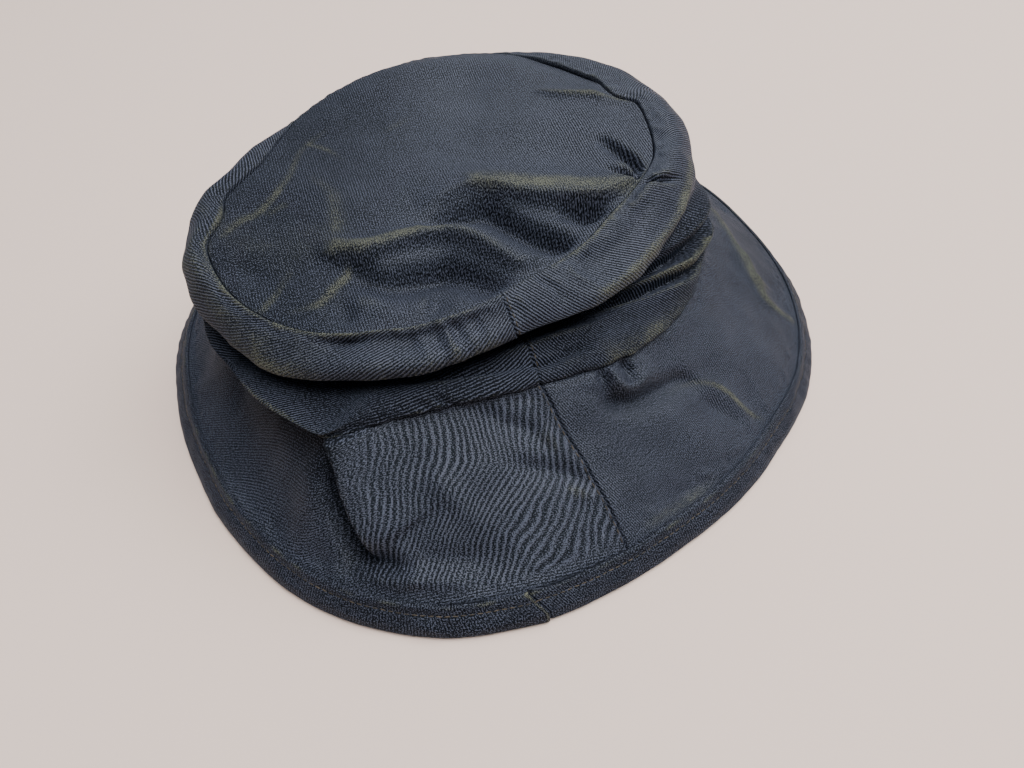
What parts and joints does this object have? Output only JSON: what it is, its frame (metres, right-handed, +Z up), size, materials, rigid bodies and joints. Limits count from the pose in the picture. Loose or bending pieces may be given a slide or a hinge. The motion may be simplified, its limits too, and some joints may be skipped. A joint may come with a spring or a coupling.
{
  "type": "waxed cotton hat",
  "caption": "Soft bucket-style hat of waxed cotton with a slumped round crown, a creased side band and a sloping bound brim, lying brim down; worn on the head against rain and sun.",
  "frame": {"origin": "centre of the hat's footprint, in the plane that the brim rests on", "axes": "+Z up through the crown; -Y to the side where the seam of the band and brim runs; +X to that side's right; lying brim down as at rest"},
  "size_m": [0.2961, 0.3241, 0.0965],
  "materials": {
    "waxed_cotton": "blue-black waxed cotton twill with a soft sheen, pale olive where it is creased or rubbed",
    "waxed_binding": "blue-black waxed cotton, rubbed olive along its edges",
    "seam_thread": "dark brown sewing thread, dull"
  },
  "bodies": {
    "root": {"crown_tip": "waxed_cotton", "side_band": "waxed_cotton", "brim": "waxed_cotton", "brim_binding": "waxed_binding"}
  },
  "joints": []
}
